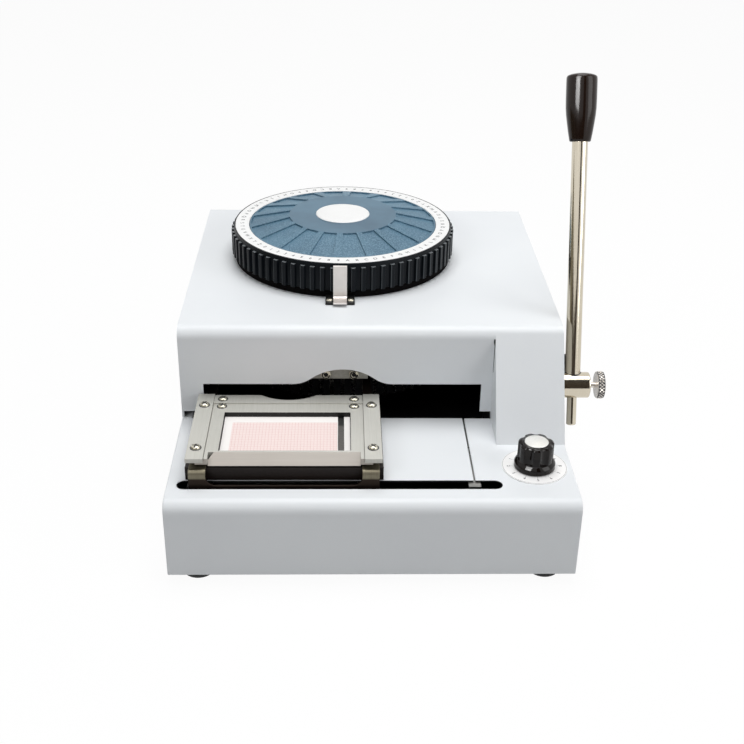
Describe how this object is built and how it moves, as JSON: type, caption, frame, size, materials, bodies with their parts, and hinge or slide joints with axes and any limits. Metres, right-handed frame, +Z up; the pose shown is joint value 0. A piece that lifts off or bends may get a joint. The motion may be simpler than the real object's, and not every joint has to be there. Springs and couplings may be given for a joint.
{
  "type": "tag embossing machine",
  "caption": "Hand-lever embossing press for metal tags and cards: grey folded-sheet casing, ribbed index dial, sliding card carriage and a spacing knob.",
  "frame": {"origin": "middle of the whole machine's footprint, on the surface it stands on", "axes": "+Z up, +Y from the front with the slot to the back, +X to the side with the hand lever"},
  "size_m": [0.3016, 0.3506, 0.2969],
  "materials": {
    "casing": "light grey powder coat with a fine texture",
    "inner_frame": "dark grey primer",
    "blackened_steel": "oil-blackened",
    "black_paint": "satin black paint",
    "brushed_steel": "ground and brushed",
    "nickel": "nickel plate",
    "ground_steel": "ground round bar",
    "bronze": "sintered bronze",
    "rubber": "matt moulded rubber",
    "white_plastic": "printed white plastic",
    "rim_plastic": "moulded slate plastic",
    "dial_plastic": "moulded dark teal plastic, fine grain",
    "black_plastic": "glossy black phenolic",
    "card": "white card with a fine pale red grid"
  },
  "bodies": {
    "frame": {"base_shell": "casing", "hood": "casing", "deck_plate": "casing", "deck_strips": "brushed_steel", "bottom_plate": "inner_frame", "feet": "rubber", "hood_screws": "nickel", "top_plate": "inner_frame", "frame_posts": "ground_steel", "inner_cheek": "inner_frame", "outer_cheek": "inner_frame", "cheek_bridge": "inner_frame", "bearing_bushes": "bronze", "press_columns": "ground_steel", "wheel_pedestal": "inner_frame", "pointer": "nickel", "pointer_base": "black_paint", "pointer_screws": "nickel", "front_guide_rod": "ground_steel", "rear_guide_rod": "ground_steel", "rod_brackets": "inner_frame", "scale_plate": "white_plastic", "lever_stop": "rubber"},
    "dial": {"dial_wheel": "rim_plastic", "dial_plate": "dial_plastic", "index_ring": "white_plastic", "dial_cap": "white_plastic", "dial_shaft": "ground_steel", "upper_type_wheel": "blackened_steel", "lower_type_wheel": "blackened_steel", "punches": "ground_steel", "dies": "ground_steel"},
    "lever": {"lever_shaft": "ground_steel", "lever_hub": "nickel", "lever_rod": "nickel", "lever_grip": "black_plastic", "upper_eccentric": "ground_steel", "lower_eccentric": "ground_steel"},
    "clamp": {"thumb_screw": "nickel"},
    "upper_press": {"upper_yoke": "blackened_steel", "upper_beam": "blackened_steel", "upper_ram": "ground_steel", "press_head": "black_paint", "press_head_cap": "brushed_steel", "press_head_screws": "nickel"},
    "lower_press": {"lower_yoke": "blackened_steel", "lower_beam": "blackened_steel", "lower_ram": "ground_steel"},
    "carriage": {"carriage_bed": "black_paint", "carriage_apron": "brushed_steel", "side_rails": "brushed_steel", "rail_screws": "nickel", "guide_arms": "brushed_steel", "feed_rack": "brushed_steel"},
    "card_holder": {"card_frame": "brushed_steel", "frame_screws": "nickel", "card_tray": "black_paint", "layout_card": "card"},
    "knob": {"spacing_knob": "black_plastic", "knob_cap": "nickel"}
  },
  "joints": [
    {"name": "dial_turn", "type": "hinge", "parent": "frame", "child": "dial", "pos_m": [-0.03565, 0.07325, 0.15], "axis": [0, 0, 1], "continuous": true},
    {"name": "lever_pull", "type": "hinge", "parent": "frame", "child": "lever", "pos_m": [0.12875, -0.06345, 0.0892], "axis": [1, 0, 0], "range_deg": [0, 65]},
    {"name": "clamp_turn", "type": "hinge", "parent": "lever", "child": "clamp", "pos_m": [0.14715, -0.06345, 0.0892], "axis": [1, 0, 0], "continuous": true},
    {"name": "upper_press_stroke", "type": "slide", "parent": "frame", "child": "upper_press", "axis": [0, 0, -1], "range_m": [0, 0.0038]},
    {"name": "lower_press_stroke", "type": "slide", "parent": "frame", "child": "lower_press", "axis": [0, 0, 1], "range_m": [0, 0.0038]},
    {"name": "carriage_slide", "type": "slide", "parent": "frame", "child": "carriage", "axis": [1, 0, 0], "range_m": [0, 0.075]},
    {"name": "card_slide", "type": "slide", "parent": "carriage", "child": "card_holder", "axis": [0, 1, 0], "range_m": [0, 0.095]},
    {"name": "spacing_turn", "type": "hinge", "parent": "frame", "child": "knob", "pos_m": [0.09355, -0.13075, 0.07], "axis": [0, 0, 1], "range_deg": [-135, 135]}
  ],
  "couplings": [
    {"joint": "upper_press_stroke", "follows": "lever_pull", "m_per_rad": 0.0033153},
    {"joint": "lower_press_stroke", "follows": "lever_pull", "m_per_rad": 0.0033153}
  ]
}
